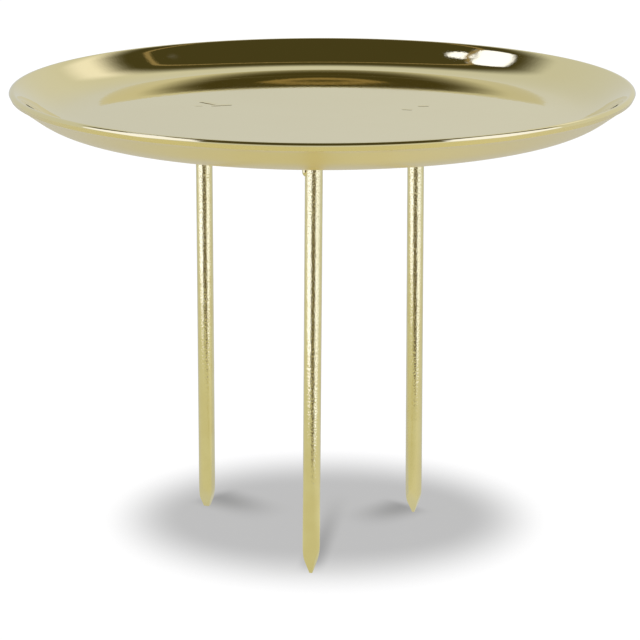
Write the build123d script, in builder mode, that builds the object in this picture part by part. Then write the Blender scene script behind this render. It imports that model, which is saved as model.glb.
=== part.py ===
from build123d import *
from math import cos, radians, sin
import os

# Candle plate: a pressed sheet dish that carries one candle, on three wire spikes welded under it.
# Millimetres, +Z up, front at -Y. The dish's axis is the Z axis and the spike tips stand on Z = 0.

# Dish
dish_diameter = 80.0      # across the outer edge
sheet = 0.8               # sheet thickness
toe_radius = 14.0         # wide inside bend where the floor starts to turn up
toe_slope = 9.0           # slope at the end of that bend, degrees
knee_radius = 6.8         # inside bend from the toe up into the wall
wall_slope = 38.5         # steepest slope of the wall, degrees
wall_length = 2.1         # straight stretch of the wall
lip_radius = 9.4          # outward bend of the lip, on its upper side
lip_slope = 29.1          # slope of the lip at the edge, degrees

# Spikes
spike_diameter = 2.2
spike_length = 54.5       # from the underside of the dish to the tip
point_length = 3.0        # four-sided point
point_tip = 0.4           # width of the flat that is left at the tip
point_turn = -20.0        # turn of the facets about the spike's axis, degrees
grip_drop = 7.0           # from the underside of the dish to the first gripper mark
grip_pitch = 0.7          # spacing of the gripper marks along the spike
grip_count = 4
grip_width = 0.55
grip_depth = 0.06
spike_places = {
    "left": (-15.5, 5.3),
    "front": (-1.0, -20.5),
    "right": (12.2, 2.7),
}

# Weld beads
bead_leg = 0.9            # width of the bead on the dish
bead_height = 1.2         # height of the bead down the spike
bead_swell = 0.15         # how far the bead's face bulges beyond a straight slope
drip_spike = "front"      # the spike with a run of weld metal down its side
drip_length = 3.2         # from the underside of the dish to the lowest point of the drip
drip_diameter = 0.8
drip_azimuth = 190.0      # side of the spike that the drip is on, degrees from +X

# Levels and radii that follow from the sizes above
underside = spike_length
floor_level = underside + sheet
edge_radius = sheet / 2
spike_radius = spike_diameter / 2
drip_radius = drip_diameter / 2

os.makedirs("parts", exist_ok=True)


def upright_plane(x, y, level):
    """Plane that stands on a spike's axis, with its origin at a level: sketch x is outward, sketch y is up."""
    return Plane((x, y, level), x_dir=(1, 0, 0), z_dir=(0, -1, 0))


# Dish: one section of constant thickness turned about the axis. From the flat floor it turns up in a
# wide toe and a tighter knee, runs straight, and bends outward again in the lip. The edge is a half
# round as thick as the sheet.
toe, wall, lip = (radians(slope) for slope in (toe_slope, wall_slope, lip_slope))
toe_run = toe_radius * sin(toe)
knee_run = knee_radius * (sin(wall) - sin(toe))
wall_run = wall_length * cos(wall)
lip_run = lip_radius * (sin(wall) - sin(lip))
edge_run = edge_radius * (1 + sin(lip))
flat_radius = dish_diameter / 2 - toe_run - knee_run - wall_run - lip_run - edge_run


def sheet_side(level, depth):
    """Draw one side of the sheet from the axis to its edge, at a depth below the upper side, and return its lip."""
    flat = Line((0, level), (flat_radius, level))
    toe_bend = JernArc(flat @ 1, flat % 1, toe_radius + depth, toe_slope)
    knee_bend = JernArc(toe_bend @ 1, toe_bend % 1, knee_radius + depth, wall_slope - toe_slope)
    straight = PolarLine(knee_bend @ 1, wall_length, direction=knee_bend % 1)
    return JernArc(straight @ 1, straight % 1, lip_radius - depth, lip_slope - wall_slope)


with BuildPart() as dish:
    with BuildSketch(Plane.XZ):
        with BuildLine():
            upper_lip = sheet_side(floor_level, 0)
            sheet_side(underside, sheet)
            JernArc(upper_lip @ 1, upper_lip % 1, edge_radius, -180)
            Line((0, underside), (0, floor_level))
        make_face()
    revolve(axis=Axis.Z)
dish.part.label = "dish"
export_step(dish.part, "parts/dish.step")

# Spikes: a square point trimmed to the round of the wire, the shank above it, and the ring marks
# that the nail maker's grippers leave below the welded end
for side, (x, y) in spike_places.items():
    spike_axis = Axis((x, y, 0), (0, 0, 1))
    shoulder_plane = Plane((x, y, point_length))
    with BuildPart() as spike:
        with BuildSketch(Plane((x, y, 0))):
            Rectangle(point_tip, point_tip, rotation=point_turn)
        with BuildSketch(shoulder_plane):
            Rectangle(spike_diameter, spike_diameter, rotation=point_turn)
        loft(ruled=True)
        with Locations((x, y, 0)):
            Cylinder(
                spike_radius,
                point_length,
                align=(Align.CENTER, Align.CENTER, Align.MIN),
                mode=Mode.INTERSECT,
            )
        with BuildSketch(shoulder_plane):
            Circle(spike_radius)
        extrude(amount=spike_length - point_length)
        with BuildSketch(upright_plane(x, y, underside - grip_drop)):
            with Locations(*[(spike_radius, -mark * grip_pitch) for mark in range(grip_count)]):
                Polygon(
                    (0, grip_width / 2),
                    (-grip_depth, 0),
                    (0, -grip_width / 2),
                    (grip_depth, 0),
                    align=None,
                )
        revolve(axis=spike_axis, mode=Mode.SUBTRACT)
    spike.part.label = f"spike_{side}"
    export_step(spike.part, f"parts/spike_{side}.step")

# Weld beads: a swollen ring in the corner between each spike and the dish. On one spike the
# metal has run down the side and ends in a round drip.
bead_root = (spike_radius, 0)
bead_toe = (spike_radius + bead_leg, 0)
bead_foot = (spike_radius, -bead_height)
bead_crown = (spike_radius + bead_leg / 2 + bead_swell, -bead_height / 2 - bead_swell)

for side, (x, y) in spike_places.items():
    with BuildPart() as weld:
        with BuildSketch(upright_plane(x, y, underside)):
            with BuildLine():
                Line(bead_root, bead_toe)
                ThreePointArc(bead_toe, bead_crown, bead_foot)
                Line(bead_foot, bead_root)
            make_face()
        revolve(axis=Axis((x, y, underside), (0, 0, 1)))
        if side == drip_spike:
            drip_x = x + spike_radius * cos(radians(drip_azimuth))
            drip_y = y + spike_radius * sin(radians(drip_azimuth))
            with Locations((drip_x, drip_y, underside)):
                Cylinder(
                    drip_radius,
                    drip_length - drip_radius,
                    align=(Align.CENTER, Align.CENTER, Align.MAX),
                )
            with Locations((drip_x, drip_y, underside - drip_length + drip_radius)):
                Sphere(drip_radius)
            with Locations((x, y, underside)):
                Cylinder(
                    spike_radius,
                    spike_length,
                    align=(Align.CENTER, Align.CENTER, Align.MAX),
                    mode=Mode.SUBTRACT,
                )
    weld.part.label = f"weld_{side}"
    export_step(weld.part, f"parts/weld_{side}.step")
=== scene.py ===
import logging
from dataclasses import dataclass
from enum import Enum
from functools import reduce
from math import atan2, cos, hypot, pi, radians, sin

import bpy
import numpy as np
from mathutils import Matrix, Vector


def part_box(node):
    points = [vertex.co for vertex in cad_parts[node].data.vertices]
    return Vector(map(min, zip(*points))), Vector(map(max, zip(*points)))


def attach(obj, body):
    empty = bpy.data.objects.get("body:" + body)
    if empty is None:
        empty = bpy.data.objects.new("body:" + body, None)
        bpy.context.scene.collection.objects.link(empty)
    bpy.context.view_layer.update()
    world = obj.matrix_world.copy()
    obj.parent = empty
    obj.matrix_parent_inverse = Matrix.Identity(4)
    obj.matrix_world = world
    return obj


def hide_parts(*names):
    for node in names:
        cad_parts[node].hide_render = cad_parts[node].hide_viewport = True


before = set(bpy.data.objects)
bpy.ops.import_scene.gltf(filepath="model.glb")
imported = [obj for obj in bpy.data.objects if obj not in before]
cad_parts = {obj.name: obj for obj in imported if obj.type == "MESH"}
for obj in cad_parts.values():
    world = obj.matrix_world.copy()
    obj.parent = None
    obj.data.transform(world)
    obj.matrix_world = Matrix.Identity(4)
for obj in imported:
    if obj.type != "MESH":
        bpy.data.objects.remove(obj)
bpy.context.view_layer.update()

# Candle plate: a mirror-bright brass-plated dish on three pointed wire spikes. Sizes are millimetres,
# +Z is up and the front is at -Y. Each piece is worked out in millimetres and put down in metres.

MM = 0.001
LOG = logging.getLogger("candle_plate")
BODY = "root"
LEAST_SQUARE = 1e-4
LEAST_SUM = 1e-6

# The colour mix node's sockets for the first colour, the second colour and the result
MIX_FIRST, MIX_SECOND, MIX_RESULT = 6, 7, 2

Pair = tuple[float, float]
Point = tuple[float, float, float]
Colour = tuple[float, float, float]
Piece = bpy.types.Object
Socket = bpy.types.NodeSocket
Value = float | tuple[float, ...] | Socket

WHITE: Colour = (1.0, 1.0, 1.0)


class Slot(Enum):
    """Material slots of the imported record."""

    DISH = "dish_brass"
    SPIKE = "spike_brass"
    WELD = "weld_brass"


class Side(Enum):
    """The three spikes, by where they stand under the dish."""

    LEFT = "left"
    FRONT = "front"
    RIGHT = "right"


class Wiring:
    """Short hand for laying out a tree of shader nodes."""

    def __init__(self, tree: bpy.types.NodeTree) -> None:
        """Start from an empty tree.

        Args:
            tree: The node tree to fill.
        """
        self.tree = tree
        tree.nodes.clear()

    def node(self, kind: str, **settings: object) -> bpy.types.Node:
        """Add one node.

        Args:
            kind: Blender's type name of the node.
            settings: Properties to set on it.

        Returns:
            The new node.
        """
        made = self.tree.nodes.new(kind)
        for name, value in settings.items():
            setattr(made, name, value)
        return made

    def feed(self, socket: Socket, value: Value) -> None:
        """Link a socket to another socket, or set its own value.

        Args:
            socket: The input to feed.
            value: A socket to link from, or a plain value.
        """
        if isinstance(value, Socket):
            self.tree.links.new(value, socket)
        else:
            socket.default_value = value

    def result(self, kind: str, *values: Value, **settings: object) -> Socket:
        """Add a node, feed its inputs in order and take its first output.

        Args:
            kind: Blender's type name of the node.
            values: Numbers, colours or sockets for its inputs.
            settings: Properties to set on it.

        Returns:
            The output's socket.
        """
        made = self.node(kind, **settings)
        for socket, value in zip(made.inputs, values):
            self.feed(socket, value)
        return made.outputs[0]

    def parts(self, vector: Socket) -> list[Socket]:
        """The x, y and z of a vector."""
        made = self.node("ShaderNodeSeparateXYZ")
        self.feed(made.inputs[0], vector)
        return list(made.outputs)

    def math(self, operation: str, *values: Value) -> Socket:
        """One arithmetic step on numbers or sockets."""
        return self.result("ShaderNodeMath", *values, operation=operation)

    def step(self, value: Value, low: Value, high: Value, start: Value = 0.0, end: Value = 1.0) -> Socket:
        """A smooth step from start to end while the value goes from low to high."""
        given = (value, low, high, start, end)
        return self.result("ShaderNodeMapRange", *given, interpolation_type="SMOOTHSTEP")

    def product(self, *values: Value) -> Socket:
        """Multiply any number of values."""
        return reduce(lambda first, second: self.math("MULTIPLY", first, second), values)

    def blend(self, share: Value, first: Value, second: Value) -> Socket:
        """Mix two colours.

        Args:
            share: How much of the second colour, 0 to 1.
            first: Colour at 0.
            second: Colour at 1.

        Returns:
            The mixed colour's socket.
        """
        made = self.node("ShaderNodeMix", data_type="RGBA")
        self.feed(made.inputs[0], share)
        self.feed(made.inputs[MIX_FIRST], first)
        self.feed(made.inputs[MIX_SECOND], second)
        return made.outputs[MIX_RESULT]

    def grey(self, value: Value) -> Socket:
        """A neutral colour of one brightness."""
        return self.result("ShaderNodeCombineColor", value, value, value)

    def mix_shaders(self, share: Value, first: Value, second: Value) -> Socket:
        """The second shader over the first, by a share from 0 to 1."""
        return self.result("ShaderNodeMixShader", share, first, second)


def rgba(colour: Colour) -> tuple[float, float, float, float]:
    """A colour as Blender's four numbers."""
    return (*colour, 1.0)


@dataclass(frozen=True)
class BrassPlating:
    """Bright pale brass plating, with the faint grain of what lies under it.

    Attributes:
        name: Name of the material.
        pale: Colour where the plating is thick.
        deep: Colour where it is thinner and warmer.
        cloud_size: Size of the patches between those two, mm.
        sheen_low: Roughness of the brightest places.
        sheen_high: Roughness of the dullest places.
        grain_size: Size of the grain across it, mm.
        grain_draw: How many times longer the grain is along Z than across.
        grain_height: Height of the grain, mm.
        under_sheen: Least roughness of what faces down.
        painted_under_shade: Painted shade: share of each colour that is left on what faces down, darker and
            warmer there.
        under_span: Where a face counts as facing down and where it no longer does, as z of its normal.
        cloud_detail: Detail of the patches.
        cloud_span: Values of the cloud where a patch is all pale and where it is all deep.
        grain_detail: Detail of the grain.
    """

    name: str
    pale: Colour
    deep: Colour
    cloud_size: float
    sheen_low: float
    sheen_high: float
    grain_size: float
    grain_draw: float
    grain_height: float
    under_sheen: float = 0.0
    painted_under_shade: Colour = WHITE
    under_span: Pair = (-0.5, -0.1)
    cloud_detail: float = 3.0
    cloud_span: Pair = (0.3, 0.7)
    grain_detail: float = 2.0

    def material(self) -> bpy.types.Material:
        """Wire the finish: cloudy colour and sheen, a grain that tilts the mirror very slightly, and painted
        shade on what faces down.

        Returns:
            The finished material.
        """
        made = bpy.data.materials.new(self.name)
        made.use_nodes = True
        w = Wiring(made.node_tree)
        place = w.node("ShaderNodeTexCoord").outputs["Object"]
        cloud = w.node("ShaderNodeTexNoise")
        w.feed(cloud.inputs["Vector"], place)
        cloud.inputs["Scale"].default_value = 1 / (self.cloud_size * MM)
        cloud.inputs["Detail"].default_value = self.cloud_detail
        patch = w.step(cloud.outputs["Fac"], *self.cloud_span)
        drawn = w.node("ShaderNodeMapping", vector_type="TEXTURE")
        w.feed(drawn.inputs["Vector"], place)
        drawn.inputs["Scale"].default_value = (1.0, 1.0, self.grain_draw)
        grain = w.node("ShaderNodeTexNoise")
        w.feed(grain.inputs["Vector"], drawn.outputs["Vector"])
        grain.inputs["Scale"].default_value = 1 / (self.grain_size * MM)
        grain.inputs["Detail"].default_value = self.grain_detail
        relief = w.node("ShaderNodeBump")
        relief.inputs["Strength"].default_value = 1.0
        relief.inputs["Distance"].default_value = self.grain_height * MM
        w.feed(relief.inputs["Height"], grain.outputs["Fac"])
        metal = w.node("ShaderNodeBsdfPrincipled")
        metal.inputs["Metallic"].default_value = 1.0
        sheen = w.step(cloud.outputs["Fac"], *self.cloud_span, self.sheen_low, self.sheen_high)
        facing = w.parts(w.node("ShaderNodeNewGeometry").outputs["Normal"])
        under = w.step(facing[2], *self.under_span, 1.0, 0.0)
        least = w.math("MULTIPLY", under, self.under_sheen)
        w.feed(metal.inputs["Roughness"], w.math("MAXIMUM", sheen, least))
        tones = (self.pale, self.deep)
        # Painted shade: what faces down gets a darker, warmer copy of each colour
        shaded = [tuple(a * b for a, b in zip(tone, self.painted_under_shade)) for tone in tones]
        upper, lower = (w.blend(patch, rgba(pale), rgba(deep)) for pale, deep in (tones, shaded))
        w.feed(metal.inputs["Base Color"], w.blend(under, upper, lower))
        w.feed(metal.inputs["Normal"], relief.outputs["Normal"])
        out = w.node("ShaderNodeOutputMaterial")
        w.feed(out.inputs["Surface"], metal.outputs["BSDF"])
        return made


@dataclass
class Skin:
    """A closed surface of rings, from a middle point on top to a middle point below.

    Attributes:
        rings: Points as (rings, segments, 3), mm. Each ring turns anticlockwise seen from above.
        top: Point that closes the first ring, mm.
        bottom: Point that closes the last ring, mm.
    """

    rings: np.ndarray
    top: Point
    bottom: Point

    def faces(self) -> tuple[np.ndarray, np.ndarray]:
        """Corner numbers: a fan at each end, and quads between neighbouring rings.

        Returns:
            The triangles of both fans, and the quads.
        """
        count, around = self.rings.shape[:2]
        here = np.arange(around)
        after = np.roll(here, -1)
        first = (np.arange(count - 1) * around)[:, None]
        below = first + around
        quads = np.stack([first + here, below + here, below + after, first + after], axis=-1)
        last = (count - 1) * around
        top = np.stack([np.full(around, count * around), here, after], axis=-1)
        bottom = np.stack([np.full(around, count * around + 1), last + after, last + here], axis=-1)
        return np.concatenate([top, bottom]), quads.reshape(-1, 4)

    def put(self, name: str, sharp_angle: float | None = None) -> Piece:
        """Write the surface into a smooth-shaded mesh object at the origin.

        Args:
            name: Name of the piece.
            sharp_angle: Edges that turn more than this stay crisp, degrees. None keeps all smooth.

        Returns:
            The new object.
        """
        points = np.concatenate([self.rings.reshape(-1, 3), [self.top, self.bottom]]) * MM
        fans, quads = self.faces()
        corners = np.concatenate([fans.ravel(), quads.ravel()])
        starts = np.concatenate([np.arange(len(fans)) * 3, len(fans) * 3 + np.arange(len(quads)) * 4])
        mesh = bpy.data.meshes.new(name)
        mesh.vertices.add(len(points))
        mesh.vertices.foreach_set("co", points.astype(np.float32).ravel())
        mesh.loops.add(len(corners))
        mesh.loops.foreach_set("vertex_index", corners.astype(np.int32))
        mesh.polygons.add(len(starts))
        mesh.polygons.foreach_set("loop_start", starts.astype(np.int32))
        mesh.polygons.foreach_set("use_smooth", np.ones(len(starts), bool))
        mesh.update(calc_edges=True)
        if sharp_angle is not None:
            mesh.set_sharp_from_angle(angle=radians(sharp_angle))
        made = bpy.data.objects.new(name, mesh)
        bpy.context.scene.collection.objects.link(made)
        return made


def dress(piece: Piece, finish: bpy.types.Material, node: str) -> None:
    """Give a piece its finish and let it stand for its node.

    Args:
        piece: The finished mesh object.
        finish: Material of the piece.
        node: The node that the piece replaces.
    """
    piece.data.materials.append(finish)
    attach(piece, BODY)
    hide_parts(node)
    LOG.info("%s stands for %s: %d faces", piece.name, node, len(piece.data.polygons))


def arc(centre: Pair, radius: float, start: float, end: float, count: int) -> np.ndarray:
    """Points on an arc of the section, r = centre + radius cos, z = centre + radius sin.

    Args:
        centre: Middle of the arc as (r, z), mm.
        radius: Its radius, mm.
        start: Angle of the first point from the horizontal, degrees.
        end: Angle of the last point, degrees.
        count: How many points.

    Returns:
        The points as (count, 2), mm.
    """
    angle = np.radians(np.linspace(start, end, count))
    return np.stack([centre[0] + radius * np.cos(angle), centre[1] + radius * np.sin(angle)], axis=-1)


@dataclass(frozen=True)
class Crease:
    """A faint crease that the heat of a weld leaves on the dish's floor.

    Attributes:
        start: One end (x, y), mm.
        end: The other end (x, y), mm.
        width: Half width of the groove, mm.
        depth: Depth of the groove, mm.
    """

    start: Pair
    end: Pair
    width: float
    depth: float

    def sink(self, x: np.ndarray, y: np.ndarray) -> np.ndarray:
        """How far the crease lowers the floor: a bell curve of the distance to the line between its ends.

        Args:
            x: Places across, mm.
            y: Places from front to back, mm.

        Returns:
            The drop at each place, mm.
        """
        ax, ay = self.start
        bx, by = self.end[0] - ax, self.end[1] - ay
        along = np.clip(((x - ax) * bx + (y - ay) * by) / (bx * bx + by * by), 0.0, 1.0)
        away = np.hypot(x - ax - along * bx, y - ay - along * by)
        return self.depth * np.exp(-((away / self.width) ** 2))


@dataclass
class Dish:
    """The pressed dish, one sheet thick: a floor that sags a little, toe, knee, wall, lip and a rounded edge.

    Attributes:
        sheet: Thickness of the sheet, mm.
        sag_slope: Slope that the sagging floor has reached where the toe begins, degrees.
        toe_radius: Wide inside bend where the floor turns up, mm.
        toe_slope: Slope at the end of the toe, degrees.
        knee_radius: Inside bend from the toe up into the wall, mm.
        wall_slope: Steepest slope of the wall, degrees.
        wall_length: Nearly straight stretch of the wall, mm.
        wall_bow: How much less steep that stretch is at both its ends, degrees.
        lip_radius: Outward bend of the lip on its upper side, mm.
        lip_slope: Slope of the lip at the edge, degrees.
        edge_end: Where the rounding of the cut edge ends above its crisp lower corner, degrees.
        segments: Steps round the dish.
        crisp: Bend above which an edge stays crisp, degrees.
        floor_rings: Runs of rings on the floor, each a first and a last radius, mm, and a count. The
            second is close together for the weld marks.
        outer_rings: First radius, mm, and count of the run that ends where the toe begins.
        upper_fine: Points in the knee on the upper side.
        lower_fine: Points in the knee on the lower side.
        lower_skip: The lower side's floor takes one ring out of so many.
        edge_points: Points round the cut edge.
        creases: Weld marks that show on the floor.
    """

    sheet: float = 1.0
    sag_slope: float = 1.72
    toe_radius: float = 28.7
    toe_slope: float = 8.1
    knee_radius: float = 8.6
    wall_slope: float = 36.6
    wall_length: float = 2.48
    wall_bow: float = 1.2
    lip_radius: float = 7.7
    lip_slope: float = 28.4
    edge_end: float = 12.0
    segments: int = 400
    crisp: float = 30.0
    floor_rings: tuple[tuple[float, float, int], ...] = ((1.0, 9.0, 8), (9.2, 19.0, 50))
    outer_rings: tuple[float, int] = (20.0, 12)
    upper_fine: int = 28
    lower_fine: int = 16
    lower_skip: int = 4
    edge_points: int = 13
    creases: tuple[Crease, ...] = ()

    def __post_init__(self) -> None:
        """Read the outer size from the frame and work out how wide the sagging floor is."""
        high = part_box("dish")[1]
        self.radius = high.x / MM
        self.rim_level = high.z / MM
        self.edge_radius = self.sheet / 2
        self.bow_radius = self.wall_length / 2 / radians(self.wall_bow)
        ends = self.wall_slope - self.wall_bow
        order = (self.sag_slope, self.toe_slope, ends, self.wall_slope, self.lip_slope)
        self.slopes = [radians(slope) for slope in order]
        sag, toe, ends, wall, lip = (sin(slope) for slope in self.slopes)
        bends = self.toe_radius * (toe - sag) + self.knee_radius * (ends - toe)
        bends += self.lip_radius * (ends - lip) + 2 * self.bow_radius * (wall - ends)
        self.floor_radius = self.radius - self.edge_radius * (1 + lip) - bends
        self.sag_radius = self.floor_radius / sag

    def side(self, depth: float, radii: np.ndarray, fine: int) -> np.ndarray:
        """One side of the sheet, from near its middle to its lip.

        A bend runs r = r0 + R (sin s - sin s0), z = z0 + R (cos s0 - cos s) while its slope goes from
        s0 to s, with R below zero where it bends down again. Below the upper side R is larger by the depth.

        Args:
            depth: How far below the upper side, mm.
            radii: Where to put points on the floor's upper side, mm.
            fine: Points in the knee. The other bends have fewer.

        Returns:
            The points as (count, 2), each (r, z), mm, with z from the upper side's middle.
        """
        sag, toe, ends, wall, lip = self.slopes
        place = np.array([[0.0, -depth]])
        run = []
        for size, slopes in (
            (self.sag_radius, np.concatenate([[0.0], np.arcsin(radii / self.sag_radius), [sag]])),
            (self.toe_radius, np.linspace(sag, toe, fine // 2)),
            (self.knee_radius, np.linspace(toe, ends, fine)),
            (self.bow_radius, np.linspace(ends, wall, fine // 4)),
            (-self.bow_radius, np.linspace(wall, ends, fine // 4)),
            (-self.lip_radius, np.linspace(ends, lip, fine // 2)),
        ):
            turn = np.stack([np.sin(slopes) - sin(slopes[0]), cos(slopes[0]) - np.cos(slopes)], axis=-1)
            run.append(place + (size + depth) * turn[1:])
            place = run[-1][-1:]
        return np.concatenate(run)

    def section(self) -> np.ndarray:
        """Half section of the dish, from the floor's middle over the edge to the underside's middle.

        Returns:
            The points as (count, 2), each (r, z), mm.
        """
        start, count = self.outer_rings
        outer = np.linspace(start, self.floor_radius, count)[:-1]
        radii = np.concatenate([*(np.linspace(*run) for run in self.floor_rings), outer])
        upper = self.side(0.0, radii, self.upper_fine)
        lower = self.side(self.sheet, radii[:: self.lower_skip], self.lower_fine)
        centre = (upper[-1] + lower[-1]) / 2
        edge = arc(tuple(centre), self.edge_radius, self.lip_slope + 90, self.edge_end, self.edge_points)
        points = np.concatenate([upper, edge[1:], lower[::-1]])
        return points + [0.0, self.rim_level - self.edge_radius - centre[1]]

    def build(self, finish: bpy.types.Material) -> Piece:
        """Turn the section about the axis, x = r cos, y = r sin, and press the creases into the floor.

        Args:
            finish: Material of the dish.

        Returns:
            The dish.
        """
        r, z = self.section().T[:, :, None]
        turn = np.linspace(0, 2 * pi, self.segments, endpoint=False)
        x, y = r * np.cos(turn), r * np.sin(turn)
        z = z - sum((crease.sink(x, y) for crease in self.creases), np.zeros_like(x))
        top, bottom = (0.0, 0.0, z[0].mean()), (0.0, 0.0, z[-1].mean())
        piece = Skin(np.stack([x, y, z], axis=-1), top, bottom).put("dish_plated", self.crisp)
        dress(piece, finish, "dish")
        return piece


@dataclass(frozen=True)
class Dent:
    """A small oval dent or pimple on the wire.

    Attributes:
        level: Height on the spike, mm.
        azimuth: Side of the spike, degrees from +X.
        length: Half length along the wire, mm.
        width: Half width round the wire, mm.
        depth: Depth, mm. Below zero it stands proud.
    """

    level: float
    azimuth: float
    length: float
    width: float
    depth: float


@dataclass
class Spike:
    """A pointed wire nail under the dish.

    Attributes:
        side: Which spike it is.
        point_length: Length of the four-sided point, mm.
        point_tip: Width of the flat left at the tip, mm.
        lean: How far the tip stands off from straight below the top (x, y), mm.
        grip_level: Height of the first gripper mark, mm.
        grip_azimuth: Side of the wire that one of the two jaws gripped, degrees from +X.
        dents: Dents and pimples on the wire.
        point_turn: Turn of the facets about the spike's axis, degrees.
        point_round: How crisp the point's edges are. More is crisper.
        grip_depths: Depths of the gripper marks from the first one down, mm.
        grip_pitch: Spacing of the marks, mm.
        grip_width: Half width of a mark, mm.
        grip_spread: How far round the wire a mark reaches, degrees.
        ripple: Height of the drawn wire's unevenness, mm.
        ripple_room: How many times that height the wire lies inside its full radius.
        waves: How many waves make the unevenness.
        wave_turns: Least number of its turns round the wire, and one more than the most.
        wave_length: Shortest and longest wave along the wire, mm.
        seed: Start of the random draws, to which the spike's number is added.
        segments: Steps round the wire.
        ring_pitch: Step along the wire, mm.
        point_rows: Steps along the point.
        crisp: Bend above which an edge stays crisp, degrees.
    """

    side: Side
    point_length: float
    point_tip: float
    lean: Pair
    grip_level: float
    grip_azimuth: float
    dents: tuple[Dent, ...]
    point_turn: float = -20.0
    point_round: float = 14.0
    grip_depths: tuple[float, ...] = (0.012, 0.010, 0.007, 0.004)
    grip_pitch: float = 0.4
    grip_width: float = 0.1
    grip_spread: float = 32.0
    ripple: float = 0.0016
    ripple_room: float = 2.0
    waves: int = 48
    wave_turns: tuple[int, int] = (-8, 9)
    wave_length: Pair = (1.2, 9.0)
    seed: int = 7
    segments: int = 100
    ring_pitch: float = 0.09
    point_rows: int = 32
    crisp: float = 40.0

    def __post_init__(self) -> None:
        """Read the axis, the radius and the length from the frame."""
        self.node = f"spike_{self.side.value}"
        low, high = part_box(self.node)
        self.x, self.y = (low.x + high.x) / 2 / MM, (low.y + high.y) / 2 / MM
        self.radius = (high.x - low.x) / 2 / MM
        self.top = high.z / MM

    def unevenness(self, turn: np.ndarray, level: np.ndarray) -> np.ndarray:
        """Sum of waves round and along the wire, cos(m turn + q level + p), each with its own m, q and p.

        Args:
            turn: Angles round the wire.
            level: Heights along it, mm.

        Returns:
            The height of the unevenness, mm.
        """
        pick = np.random.default_rng(self.seed + list(Side).index(self.side))
        around = pick.integers(*self.wave_turns, self.waves)
        along = 2 * pi / pick.uniform(*self.wave_length, self.waves) * pick.choice([-1, 1], self.waves)
        phase = pick.uniform(0, 2 * pi, self.waves)
        total = np.zeros(np.broadcast(turn, level).shape)
        for m, q, p in zip(around, along, phase):
            total += np.cos(m * turn + q * level + p)
        return self.ripple * total * np.sqrt(2 / self.waves)

    def marks(self, turn: np.ndarray, level: np.ndarray) -> np.ndarray:
        """How far gripper marks and dents lower the wire: bell curves of the distance from each one's middle.

        Args:
            turn: Angles round the wire.
            level: Heights along it, mm.

        Returns:
            The drop, mm.
        """
        jaw = (turn - radians(self.grip_azimuth) + pi / 2) % pi - pi / 2
        gripped = np.exp(-((jaw / radians(self.grip_spread)) ** 2))
        drop = np.zeros(np.broadcast(turn, level).shape)
        for number, depth in enumerate(self.grip_depths):
            below = level - self.grip_level + number * self.grip_pitch
            drop = drop + depth * gripped * np.exp(-((below / self.grip_width) ** 2))
        for dent in self.dents:
            gap = (turn - radians(dent.azimuth) + pi) % (2 * pi) - pi
            reach = (gap * self.radius / dent.width) ** 2 + ((level - dent.level) / dent.length) ** 2
            drop = drop + dent.depth * np.exp(-reach)
        return drop

    def build(self, finish: bpy.types.Material) -> Piece:
        """Carry the wire's outline up the leaning axis.

        Down at the point the outline goes over from the wire's round to a square that narrows to the tip.
        Both the square and the way the two meet are rounded by a power mean: 1 / r^p is the sum of 1 / a^p
        and 1 / b^p.

        Args:
            finish: Material of the spike.

        Returns:
            The spike.
        """
        shank = np.arange(self.point_length, self.top, self.ring_pitch)
        point = np.linspace(0.0, self.point_length, self.point_rows, endpoint=False)
        level = np.concatenate([point, shank, [self.top]])[::-1, None]
        turn = np.linspace(0, 2 * pi, self.segments, endpoint=False)
        wire = self.radius - self.ripple * self.ripple_room
        wire = wire + self.unevenness(turn, level) - self.marks(turn, level)
        half = self.point_tip / 2 + (self.radius - self.point_tip / 2) * level / self.point_length
        facet = turn - radians(self.point_turn)
        p = self.point_round
        square = half / (np.abs(np.cos(facet)) ** p + np.abs(np.sin(facet)) ** p) ** (1 / p)
        r = np.minimum((wire ** -p + square ** -p) ** (-1 / p), self.radius)
        z = np.broadcast_to(level, r.shape)
        off = 1 - z / self.top
        x, y = self.x + self.lean[0] * off, self.y + self.lean[1] * off
        rings = np.stack([x + r * np.cos(turn), y + r * np.sin(turn), z], axis=-1)
        tip = (self.x + self.lean[0], self.y + self.lean[1], 0.0)
        piece = Skin(rings, (self.x, self.y, self.top), tip).put(f"{self.node}_plated", self.crisp)
        dress(piece, finish, self.node)
        return piece


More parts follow.
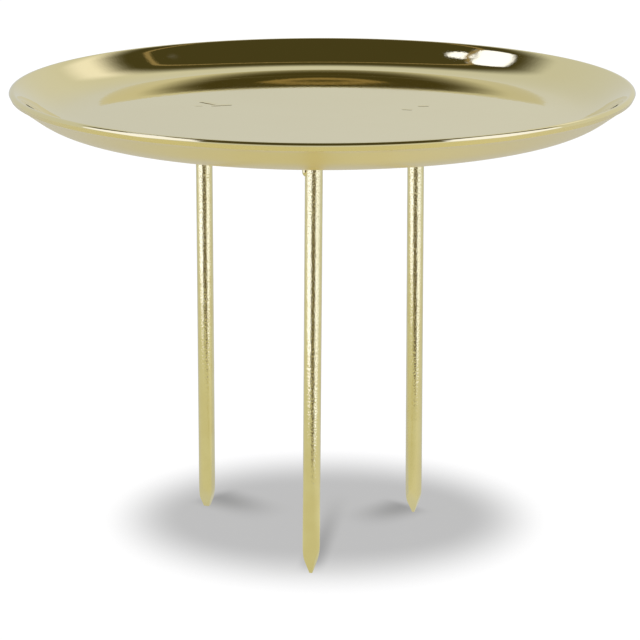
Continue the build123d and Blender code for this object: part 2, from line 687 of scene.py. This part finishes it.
@dataclass
class WeldBead:
    """The bead of weld metal that joins a spike to the dish's underside.

    Attributes:
        spike: The spike it joins.
        leg: Width of the bead on the dish, mm.
        height: Height of the bead down the spike, mm.
        hollow: Share of the bead's width that curves in like a fillet. The rest slopes straight.
        overlap: How far the weld metal's thin border dips into the wire, mm.
        lump: How uneven the bead is, as a share of its width.
        lump_waves: Waves of the lumps, each its turns, its share and its twist per mm down the wire.
        drip: Height of the run of metal down the spike's side, mm. Zero for none.
        drip_length: From the underside to the drip's lowest point, mm.
        drip_width: Half width of the drip, mm.
        drip_azimuth: Side of the spike that it is on, degrees from +X.
        drip_round: Length of the drip's rounded end, as a share of its half width.
        seed: Start of the random draws, to which the spike's number is added.
        segments: Steps round the bead.
        rows: Steps down the bead. With a drip it is twice as many.
    """

    spike: Spike
    leg: float = 0.9
    height: float = 1.2
    hollow: float = 0.8
    overlap: float = 0.04
    lump: float = 0.12
    lump_waves: tuple[tuple[int, float, float], ...] = ((2, 0.5, 0.0), (5, 0.3, 0.0), (9, 0.2, 4.0))
    drip: float = 0.0
    drip_length: float = 3.2
    drip_width: float = 0.45
    drip_azimuth: float = 190.0
    drip_round: float = 1.3
    seed: int = 31
    segments: int = 120
    rows: int = 32

    def swell(self, turn: np.ndarray, depth: np.ndarray) -> np.ndarray:
        """How far the weld metal stands out from the wire.

        The bead is a quarter of an ellipse that is lumpy round the wire, and the drip is a rounded ridge
        whose height falls off as the root of one minus its squared distance from the ridge.

        Args:
            turn: Angles round the wire.
            depth: Distances below the dish, mm.

        Returns:
            The thickness of the weld metal, mm. Below zero there is none.
        """
        pick = np.random.default_rng(self.seed + list(Side).index(self.spike.side))
        phase = pick.uniform(0, 2 * pi, len(self.lump_waves))
        lumps = 1 + self.lump * sum(
            share * np.cos(turns * turn + start + twist * depth)
            for (turns, share, twist), start in zip(self.lump_waves, phase)
        )
        rest = 1 - np.clip(depth / (self.height * lumps), 0, 1)
        fillet = self.hollow * lumps * (1 - np.sqrt(1 - rest ** 2))
        bead = self.leg * (fillet + (1 - self.hollow) * rest) - self.overlap
        gap = (turn - radians(self.drip_azimuth) + pi) % (2 * pi) - pi
        across = (gap * self.spike.radius / self.drip_width) ** 2
        tail = self.drip_width * self.drip_round
        end = np.clip((depth - self.drip_length + tail) / tail, 0, 1) ** 2
        run = self.drip * np.sqrt(np.clip(1 - across - end, 0, 1)) - self.overlap
        return np.maximum(bead, run)

    def build(self, finish: bpy.types.Material) -> Piece:
        """Carry the weld's thickness round the wire: radius is the wire's plus the swell.

        Args:
            finish: Material of the bead.

        Returns:
            The bead.
        """
        reach = self.drip_length if self.drip else self.height
        depth = np.linspace(0, reach, self.rows * 2 if self.drip else self.rows)[:, None]
        turn = np.linspace(0, 2 * pi, self.segments, endpoint=False)
        r = self.spike.radius + self.swell(turn, depth)
        z = np.broadcast_to(self.spike.top - depth, r.shape)
        rings = np.stack([self.spike.x + r * np.cos(turn), self.spike.y + r * np.sin(turn), z], axis=-1)
        top = (self.spike.x, self.spike.y, self.spike.top)
        bottom = (self.spike.x, self.spike.y, self.spike.top - reach)
        node = f"weld_{self.spike.side.value}"
        piece = Skin(rings, top, bottom).put(f"{node}_plated")
        dress(piece, finish, node)
        return piece


@dataclass(frozen=True)
class Pane:
    """A bright pane overhead, as an oval on a plane above the plate.

    Places on that plane are shares of its height: across is x / z and back is y / z of a direction.

    Attributes:
        centre: Middle of the pane (across, back).
        half: Half of its size (along, aside).
        turn: How far it is turned about its middle, degrees.
        soft: Width of its soft border, as a share of its half size.
    """

    centre: Pair
    half: Pair
    turn: float
    soft: float = 0.25

    def share(self, w: Wiring, across: Socket, back: Socket) -> Socket:
        """How far a direction lies in the pane: one inside, zero outside.

        Args:
            w: The tree to lay nodes in.
            across: Socket of x / z.
            back: Socket of y / z.

        Returns:
            The share's socket.
        """
        u, v = w.math("SUBTRACT", across, self.centre[0]), w.math("SUBTRACT", back, self.centre[1])
        c, s = cos(radians(self.turn)), sin(radians(self.turn))
        length, width = self.half
        along = w.math("ADD", w.math("MULTIPLY", u, c / length), w.math("MULTIPLY", v, s / length))
        aside = w.math("SUBTRACT", w.math("MULTIPLY", v, c / width), w.math("MULTIPLY", u, s / width))
        reach = w.math("SQRT", w.math("ADD", w.math("POWER", along, 2.0), w.math("POWER", aside, 2.0)))
        return w.step(reach, 1 - self.soft, 1 + self.soft, 1.0, 0.0)


@dataclass(frozen=True)
class PaintedShadowStreak:
    """A painted shadow: a soft dark streak on the floor, from a spike's foot inward.

    Attributes:
        foot: Where it begins (x, y), mm.
        end: Where it has faded away (x, y), mm.
        width: Half width, mm.
        depth: How much of the light it takes away at its darkest.
        lead: How far ahead of the foot it begins, as a share of its length.
    """

    foot: Pair
    end: Pair
    width: float
    depth: float
    lead: float = 0.2

    def left_over(self, w: Wiring, place: Socket) -> Socket:
        """Share of the light that is left at a place on the floor.

        Args:
            w: The tree to lay nodes in.
            place: Socket of the place, m.

        Returns:
            The share's socket.
        """
        run, rise = self.end[0] - self.foot[0], self.end[1] - self.foot[1]
        own = w.node("ShaderNodeMapping", vector_type="TEXTURE")
        w.feed(own.inputs["Vector"], place)
        own.inputs["Location"].default_value = (self.foot[0] * MM, self.foot[1] * MM, 0.0)
        own.inputs["Rotation"].default_value = (0.0, 0.0, atan2(rise, run))
        own.inputs["Scale"].default_value = (hypot(run, rise) * MM, self.width * MM, 1.0)
        along, off_line, _ = w.parts(own.outputs["Vector"])
        aside = w.math("ABSOLUTE", off_line)
        across, away = (w.step(way, 0.0, 1.0, 1.0, 0.0) for way in (aside, along))
        dark = w.product(across, w.step(along, -self.lead, 0.0), away)
        return w.math("SUBTRACT", 1.0, w.math("MULTIPLY", dark, self.depth))


@dataclass(frozen=True)
class Studio:
    """A pale tent round the plate: floor, walls, a dark opening overhead, and two bright panels in front.

    Places overhead are on a plane above the plate, as shares of its height: x / z across and y / z back.

    Attributes:
        left_wall: Colour of the walls on the left.
        right_wall: Colour of the walls on the right.
        wall_turn: Where the one goes over to the other, as x of a direction.
        glow: Colour of the brightest place on the right wall.
        glow_turn: Where it is, degrees from the back toward the right.
        glow_rise: How high it is, degrees.
        glow_core: Radius of its bright middle, degrees.
        glow_reach: Radius where it has faded away, degrees.
        horizon: Least height of a direction that places overhead are worked out for, as its z.
        ceiling: Colour of the dark opening overhead.
        ceiling_back: How far back the opening reaches.
        ceiling_bow: How much further back it reaches at the sides, per squared share across.
        ceiling_half: How far to each side it reaches.
        ceiling_slant: How much nearer its far edge is on the right, per share across.
        ceiling_corner: How square its corners are. More is squarer.
        ceiling_soft: Width of its soft border at the back and at the sides, as shares of its size.
        daylight: Colour of the bright panes in it.
        panes: Those panes.
        ring: Colour of the thin warm ring in it.
        ring_half: Half of the ring's size (across, back).
        ring_centre: How far right its middle is.
        ring_corner: How square its corners are.
        ring_width: Half of its thickness at the back and at the sides, as shares of its size.
        side_window: Colour of the bright windows overhead to the left and to the right.
        side_start: Where they begin, softly, to each side.
        side_slant: How much further out they begin toward the front, per share.
        side_back: Where they end, softly, toward the back.
        side_front: Where they end, softly, toward the front.
        side_reach: Where they end, softly, to the sides.
        left_panel: Colour of the panel in front on the left.
        right_panel: Colour of the panel in front on the right.
        panel_turn: Where the left one's side goes over to the right one's, as x of a direction.
        left_end: Where the left panel begins to fade and where it has faded, degrees from the front.
        right_end: The same for the right panel.
        gap_colour: Colour of the gap between the two panels.
        gap_half: Half width of the gap, degrees.
        gap_soft: Half width of the gap's soft border, degrees.
        low_back: Colour of what is low beside and behind the plate.
        low_top: Heights where the low things begin to fade and have faded, degrees.
        low_foot: Heights where the panels have faded and where they begin, degrees.
        apron: Colour of what lies below the panels.
        floor_half: Half of the floor's size, mm.
        floor_light_tints: Colours of the painted light with which the floor glows in the metal, by degrees
            from the front toward the right.
        floor_front: How far in front the floor ends in the metal, on the left and on the right, mm.
        floor_slope: How much nearer that edge comes toward the left and toward the right, mm per mm.
        floor_split: Where its left part meets its right part, mm across.
        floor_join: Half width over which the one goes over to the other, mm.
        floor_fade: Half width over which it fades away, mm.
        pool_centre: Middle of the painted pool of shade (x, y), mm.
        pool_half: Half of the pool's size (x, y), mm.
        pool_soft: Half width of its soft border at the sides and at front and back, as shares of its size.
        pool_light: Share of the light that is left in the painted pool of shade.
        painted_shadow_streaks: Darker painted shadow streaks at the spikes' feet.
        paper_shade: How much of the lamp's light the floor gives back.
        paper_glow: How bright the floor is by itself.
        lamp_energy: Strength of the lamp overhead.
        lamp_angle: Spread of its light, degrees.
    """

    left_wall: Colour = (0.63, 0.645, 0.655)
    right_wall: Colour = (0.685, 0.69, 0.665)
    wall_turn: Pair = (-0.2, 0.3)
    glow: Colour = (0.98, 0.97, 1.03)
    glow_turn: float = 32.0
    glow_rise: float = 39.5
    glow_core: float = 3.0
    glow_reach: float = 13.0
    horizon: float = 0.02
    ceiling: Colour = (0.066, 0.057, 0.021)
    ceiling_back: float = 0.95
    ceiling_bow: float = -0.1
    ceiling_half: float = 1.13
    ceiling_slant: float = 0.015
    ceiling_corner: float = 3.0
    ceiling_soft: Pair = (0.22, 0.05)
    daylight: Colour = (1.35, 1.45, 2.2)
    panes: tuple[Pane, ...] = (
        Pane((-0.396, 0.384), (0.07, 0.017), 125.6),
        Pane((-0.482, 0.552), (0.118, 0.08), 114.0),
    )
    ring: Colour = (0.30, 0.23, 0.12)
    ring_half: Pair = (0.465, 0.595)
    ring_centre: float = 0.052
    ring_corner: float = 8.0
    ring_width: Pair = (0.055, 0.03)
    side_window: Colour = (1.1, 1.15, 1.6)
    side_start: Pair = (0.4, 0.5)
    side_slant: float = 0.65
    side_back: Pair = (0.36, 0.46)
    side_front: Pair = (-1.4, -1.0)
    side_reach: Pair = (2.9, 3.3)
    left_panel: Colour = (1.4, 1.5, 2.2)
    right_panel: Colour = (1.2, 1.3, 1.8)
    panel_turn: Pair = (-0.05, 0.05)
    left_end: Pair = (64.0, 118.0)
    right_end: Pair = (42.0, 116.0)
    gap_colour: Colour = (0.12, 0.095, 0.06)
    gap_half: float = 27.0
    gap_soft: float = 9.0
    low_back: Colour = (0.62, 0.68, 0.80)
    low_top: Pair = (-10.5, -9.0)
    low_foot: Pair = (-21.5, -18.5)
    apron: Colour = (0.64, 0.64, 0.5)
    floor_half: float = 1200.0
    # Painted light: in the metal the floor glows warm and dim in front, paler toward the right and cool
    # toward the back
    floor_light_tints: tuple[tuple[float, Colour], ...] = (
        (-130.0, (0.59, 0.62, 0.69)),
        (-85.0, (0.65, 0.655, 0.52)),
        (-15.0, (0.64, 0.64, 0.485)),
        (15.0, (0.64, 0.64, 0.485)),
        (55.0, (0.71, 0.715, 0.60)),
        (90.0, (0.67, 0.68, 0.62)),
        (130.0, (0.59, 0.62, 0.69)),
    )
    floor_front: Pair = (102.0, 76.0)
    floor_slope: Pair = (0.5, 0.33)
    floor_split: float = -12.5
    floor_join: float = 2.5
    floor_fade: float = 10.0
    pool_centre: Pair = (0.4, 1.2)
    pool_half: Pair = (25.0, 22.0)
    pool_soft: Pair = (0.24, 0.42)
    pool_light: float = 0.515
    # Painted shadows of the spikes, each from its foot inward
    painted_shadow_streaks: tuple[PaintedShadowStreak, ...] = (
        PaintedShadowStreak((-14.2, 8.7), (-5.1, 0.1), 5.0, 0.35),
        PaintedShadowStreak((10.9, 4.9), (3.5, -2.5), 5.0, 0.35),
        PaintedShadowStreak((-1.0, -15.5), (2.9, 13.0), 2.2, 0.34),
    )
    paper_shade: float = 0.16
    paper_glow: float = 0.9
    lamp_energy: float = 1.3
    lamp_angle: float = 85.0

    def paint_opening(self, w: Wiring, x: Socket, y: Socket, z: Socket, walls: Socket) -> Socket:
        """Paint the dark opening overhead with its ring and panes over the walls.

        Args:
            w: The tree to lay nodes in.
            x: Socket of a direction's x.
            y: Socket of its y.
            z: Socket of its z.
            walls: Colour of the walls there.

        Returns:
            The colour's socket.
        """
        up = w.math("MAXIMUM", z, self.horizon)
        across, back = w.math("DIVIDE", x, up), w.math("DIVIDE", y, up)
        from_ring = w.math("SUBTRACT", across, self.ring_centre)
        reach, aside = self.rounded(w, from_ring, back, self.ring_half, self.ring_corner)
        width = w.step(aside, 0.0, 1.0, *self.ring_width)
        opening = rgba(self.ceiling)
        for pane in self.panes:
            opening = w.blend(pane.share(w, across, back), opening, rgba(self.daylight))
        on_ring = w.step(w.math("ABSOLUTE", w.math("SUBTRACT", reach, 1.0)), 0.0, width, 1.0, 0.0)
        opening = w.blend(on_ring, opening, rgba(self.ring))
        slanted = w.math("ADD", back, w.math("MULTIPLY", across, self.ceiling_slant))
        bow = w.math("MULTIPLY", w.math("POWER", across, 2.0), self.ceiling_bow)
        bowed = w.math("ADD", bow, self.ceiling_back)
        far, aside = self.rounded(w, across, slanted, (self.ceiling_half, bowed), self.ceiling_corner)
        soft = w.step(aside, 0.0, 1.0, *self.ceiling_soft)
        outside = w.step(far, w.math("SUBTRACT", 1.0, soft), w.math("ADD", 1.0, soft))
        room = w.blend(outside, opening, walls)
        ahead = w.math("MULTIPLY", w.math("MINIMUM", back, 0.0), self.side_slant)
        off_middle = w.math("ABSOLUTE", across)
        beside = w.step(w.math("ADD", off_middle, ahead), *self.side_start)
        within = w.step(off_middle, *self.side_reach, 1.0, 0.0)
        behind = w.step(back, *self.side_back, 1.0, 0.0)
        window = w.product(beside, w.step(back, *self.side_front), within, behind)
        return w.blend(window, room, rgba(self.side_window))

    def rounded(
        self, w: Wiring, across: Socket, back: Socket, half: tuple[Value, Value], corner: float
    ) -> tuple[Socket, Socket]:
        """Distance from the middle of a rounded box, as a share: the p-th root of |u|^p + |v|^p.

        Args:
            w: The tree to lay nodes in.
            across: Place across, from the box's middle.
            back: Place toward the back.
            half: Half of the box's size (across, back), numbers or sockets.
            corner: The power p, more for squarer corners.

        Returns:
            The distance's socket, one on the box's border, and the socket of u's part in the sum.
        """
        u, v = (
            w.math("POWER", w.math("ABSOLUTE", w.math("DIVIDE", way, size)), corner)
            for way, size in zip((across, back), half)
        )
        total = w.math("MAXIMUM", w.math("ADD", u, v), LEAST_SUM)
        return w.math("POWER", total, 1 / corner), w.math("DIVIDE", u, total)

    def light_world(self) -> None:
        """Paint the world by direction: walls with a glow, the opening overhead, panels and gap in front."""
        world = bpy.data.worlds.new("studio")
        bpy.context.scene.world = world
        world.use_nodes = True
        w = Wiring(world.node_tree)
        heading = w.node("ShaderNodeTexCoord").outputs["Generated"]
        x, y, z = w.parts(heading)
        walls = w.blend(w.step(x, *self.wall_turn), rgba(self.left_wall), rgba(self.right_wall))
        turn, rise = radians(self.glow_turn), radians(self.glow_rise)
        toward = w.node("ShaderNodeVectorMath", operation="DOT_PRODUCT")
        w.feed(toward.inputs[0], heading)
        toward.inputs[1].default_value = (sin(turn) * cos(rise), cos(turn) * cos(rise), sin(rise))
        off_glow = w.math("ARCCOSINE", w.math("MINIMUM", toward.outputs["Value"], 1.0))
        bright = w.step(off_glow, radians(self.glow_core), radians(self.glow_reach), 1.0, 0.0)
        walls = w.blend(bright, walls, rgba(self.glow))
        room = self.paint_opening(w, x, y, z, walls)
        off_front = w.math("ABSOLUTE", w.math("ARCTAN2", x, w.math("MULTIPLY", y, -1.0)))
        gap_ends = (radians(self.gap_half - self.gap_soft), radians(self.gap_half + self.gap_soft))
        beside = w.step(off_front, *gap_ends)
        left, right = (
            w.blend(w.step(off_front, *(radians(angle) for angle in end)), rgba(panel), rgba(self.low_back))
            for panel, end in ((self.left_panel, self.left_end), (self.right_panel, self.right_end))
        )
        panels = w.blend(w.step(x, *self.panel_turn), left, right)
        low = w.blend(beside, rgba(self.gap_colour), panels)
        height = w.math("ARCSINE", z)
        low = w.blend(w.step(height, *(radians(angle) for angle in self.low_foot)), rgba(self.apron), low)
        room = w.blend(w.step(height, *(radians(angle) for angle in self.low_top)), low, room)
        lit, seen = (w.result("ShaderNodeBackground", colour) for colour in (room, rgba(WHITE)))
        camera = w.node("ShaderNodeLightPath").outputs["Is Camera Ray"]
        out = w.node("ShaderNodeOutputWorld")
        w.feed(out.inputs["Surface"], w.mix_shaders(camera, lit, seen))

    def painted_pool_shade(self, w: Wiring, place: Socket) -> Socket:
        """Share of the light that is left on the floor: a painted oval pool of shade, with a painted shadow
        streak at each foot.

        The border's half width goes over from its value at the sides to that at front and back with the
        squared sine of the direction from the pool's middle.

        Args:
            w: The tree to lay nodes in.
            place: Socket of the place, m.

        Returns:
            The share's socket.
        """
        u, v = (
            w.math("DIVIDE", w.math("SUBTRACT", way, centre * MM), half * MM)
            for way, centre, half in zip(w.parts(place), self.pool_centre, self.pool_half)
        )
        u2, v2 = w.math("POWER", u, 2.0), w.math("POWER", v, 2.0)
        square = w.math("MAXIMUM", w.math("ADD", u2, v2), LEAST_SQUARE)
        aside, ahead = self.pool_soft
        soft = w.math("ADD", w.math("MULTIPLY", w.math("DIVIDE", v2, square), ahead - aside), aside)
        low, high = w.math("SUBTRACT", 1.0, soft), w.math("ADD", 1.0, soft)
        light = w.step(w.math("SQRT", square), low, high, self.pool_light, 1.0)
        return w.product(light, *(streak.left_over(w, place) for streak in self.painted_shadow_streaks))

    def mirrored_floor(self, w: Wiring, place: Socket, clear: Socket) -> Socket:
        """The floor as the metal shows it: a glow of painted light, tinted by direction from the plate, with
        a bent front edge.

        Args:
            w: The tree to lay nodes in.
            place: Socket of the place, m.
            clear: Shader of what lies beyond.

        Returns:
            The shader's socket.
        """
        x, y, _ = w.parts(place)
        turn = w.math("ARCTAN2", x, w.math("MULTIPLY", y, -1.0))
        tint = w.node("ShaderNodeValToRGB")
        w.feed(tint.inputs[0], w.math("ADD", w.math("DIVIDE", turn, 2 * pi), 0.5))
        ramp = tint.color_ramp.elements
        while len(ramp) < len(self.floor_light_tints):
            ramp.new(1.0)
        for stop, (angle, colour) in zip(ramp, self.floor_light_tints):
            stop.position = angle / 360 + 0.5
            stop.color = rgba(colour)
        # Painted light: in the metal the floor is an emission of these tints, not lit paper
        paper = w.result("ShaderNodeEmission", tint.outputs["Color"])
        aside = w.math("SUBTRACT", x, self.floor_split * MM)
        fade, join = self.floor_fade * MM, self.floor_join * MM
        front = w.step(aside, -join, join, *(edge * MM for edge in self.floor_front))
        slope = w.step(aside, -join, join, *self.floor_slope)
        bend = w.math("MULTIPLY", w.math("ABSOLUTE", aside), slope)
        over = w.math("SUBTRACT", w.math("SUBTRACT", bend, y), front)
        return w.mix_shaders(w.step(over, -fade, fade), paper, clear)

    def lay_floor(self) -> Piece:
        """Lay the floor sheet, white to the camera, with the plate's soft shade painted on it over the faint
        real shadow that the lamp casts.

        Returns:
            The floor.
        """
        half = self.floor_half * MM
        mesh = bpy.data.meshes.new("floor")
        corners = [(-half, -half, 0), (half, -half, 0), (half, half, 0), (-half, half, 0)]
        mesh.from_pydata(corners, [], [(0, 1, 2, 3)])
        floor = bpy.data.objects.new("floor", mesh)
        bpy.context.scene.collection.objects.link(floor)
        made = bpy.data.materials.new("floor_paper")
        made.use_nodes = True
        w = Wiring(made.node_tree)
        place = w.node("ShaderNodeTexCoord").outputs["Object"]
        # Painted shade: the oval pool and the streaks darken both the floor's colour and its glow
        light = self.painted_pool_shade(w, place)
        paper = w.result("ShaderNodeBsdfDiffuse", w.grey(w.math("MULTIPLY", light, self.paper_shade)))
        glow = w.result("ShaderNodeEmission", w.grey(w.math("MULTIPLY", light, self.paper_glow)))
        both = w.result("ShaderNodeAddShader", paper, glow)
        clear = w.result("ShaderNodeBsdfTransparent")
        ray = w.node("ShaderNodeLightPath")
        mirrored = self.mirrored_floor(w, place, clear)
        look = w.mix_shaders(ray.outputs["Is Glossy Ray"], both, mirrored)
        under = w.node("ShaderNodeNewGeometry").outputs["Backfacing"]
        out = w.node("ShaderNodeOutputMaterial")
        w.feed(out.inputs["Surface"], w.mix_shaders(under, look, clear))
        mesh.materials.append(made)
        return floor

    def hang_lamp(self) -> Piece:
        """Hang a broad soft lamp overhead, which the metal doesn't mirror.

        Returns:
            The lamp.
        """
        data = bpy.data.lights.new("overhead", "SUN")
        data.energy = self.lamp_energy
        data.angle = radians(self.lamp_angle)
        lamp = bpy.data.objects.new("overhead", data)
        lamp.visible_glossy = False
        bpy.context.scene.collection.objects.link(lamp)
        return lamp


@dataclass(frozen=True)
class Viewpoint:
    """The camera, in front of the plate and a little above the dish.

    Attributes:
        place: Where it stands, mm.
        pitch: How far it looks down, degrees.
        lens: Focal length, mm.
        sensor: Width of the sensor, mm.
        near: Where its view begins, mm.
    """

    place: Point = (-0.28, -315.3, 112.57)
    pitch: float = 15.064
    lens: float = 139.44
    sensor: float = 36.0
    near: float = 10.0

    def set_up(self) -> Piece:
        """Make the camera and give it to the scene.

        Returns:
            The camera.
        """
        data = bpy.data.cameras.new("viewpoint")
        data.lens = self.lens
        data.sensor_width = self.sensor
        data.clip_start = self.near * MM
        camera = bpy.data.objects.new("viewpoint", data)
        camera.location = [value * MM for value in self.place]
        camera.rotation_euler = (radians(90 - self.pitch), 0.0, 0.0)
        bpy.context.scene.collection.objects.link(camera)
        bpy.context.scene.camera = camera
        return camera


# The dish's sheet has painted shade, darker and warmer, where it faces down
SHEET_BRASS = BrassPlating(
    name="sheet_brass", pale=(0.89, 0.795, 0.44), deep=(0.88, 0.78, 0.425), cloud_size=14.0,
    sheen_low=0.015, sheen_high=0.04, grain_size=0.5, grain_draw=1.0, grain_height=0.0016, under_sheen=0.3,
    painted_under_shade=(0.98, 0.92, 0.79),
)
WIRE_BRASS = BrassPlating(
    name="wire_brass", pale=(0.89, 0.79, 0.43), deep=(0.86, 0.75, 0.39), cloud_size=3.0,
    sheen_low=0.04, sheen_high=0.10, grain_size=0.16, grain_draw=2.0, grain_height=0.03,
)
WELD_BRASS = BrassPlating(
    name="weld_brass", pale=(0.87, 0.77, 0.41), deep=(0.82, 0.70, 0.35), cloud_size=0.8,
    sheen_low=0.06, sheen_high=0.16, grain_size=0.3, grain_draw=1.0, grain_height=0.006,
)

# Pimples and dents on the three wires
LEFT_DENTS = (Dent(30.0, 296.0, 0.9, 0.22, -0.03), Dent(31.0, 262.0, 0.3, 0.15, -0.02))
FRONT_DENTS = (
    Dent(24.6, 284.0, 1.05, 0.2, -0.07),
    *(Dent(level, 290.0, 0.22, 0.13, -0.03) for level in (47.5, 46.9, 46.3, 45.6, 44.6)),
)
RIGHT_DENTS = (Dent(29.7, 270.0, 0.85, 0.24, -0.045),)

# Marks that the welds left on the floor, over the left and the right spike
WELD_MARKS = (
    Crease((-15.9, 9.9), (-14.0, 8.2), 0.3, 0.045),
    Crease((-14.3, 7.4), (-12.2, 8.1), 0.3, 0.036),
    Crease((-16.8, 7.0), (-15.7, 7.1), 0.3, 0.018),
    Crease((12.8, 7.2), (13.9, 7.2), 0.3, 0.026),
    Crease((10.6, 5.0), (11.6, 4.6), 0.3, 0.026),
)


# Height of the run of weld metal on the front spike, mm
FRONT_DRIP = 0.4


def main() -> None:
    """Build the plate piece by piece, then the studio and the camera."""
    logging.basicConfig(level=logging.INFO, format="%(message)s")
    bpy.context.scene.view_settings.view_transform = "Standard"
    sheet, wire, weld = (finish.material() for finish in (SHEET_BRASS, WIRE_BRASS, WELD_BRASS))
    Dish(creases=WELD_MARKS).build(sheet)
    left = Spike(
        Side.LEFT, point_length=2.3, point_tip=0.75, lean=(-0.2, 0.3),
        grip_level=46.4, grip_azimuth=305.0, dents=LEFT_DENTS,
    )
    front = Spike(
        Side.FRONT, point_length=3.1, point_tip=0.35, lean=(-0.42, 0.3),
        grip_level=47.2, grip_azimuth=238.0, dents=FRONT_DENTS,
    )
    right = Spike(
        Side.RIGHT, point_length=2.7, point_tip=0.3, lean=(0.2, 0.2),
        grip_level=41.6, grip_azimuth=312.0, dents=RIGHT_DENTS,
    )
    for spike in (left, front, right):
        spike.build(wire)
        drip = FRONT_DRIP if spike.side is Side.FRONT else 0.0
        WeldBead(spike, drip=drip).build(weld)
    studio = Studio()
    studio.light_world()
    studio.lay_floor()
    studio.hang_lamp()
    Viewpoint().set_up()


if __name__ == "__main__":
    main()
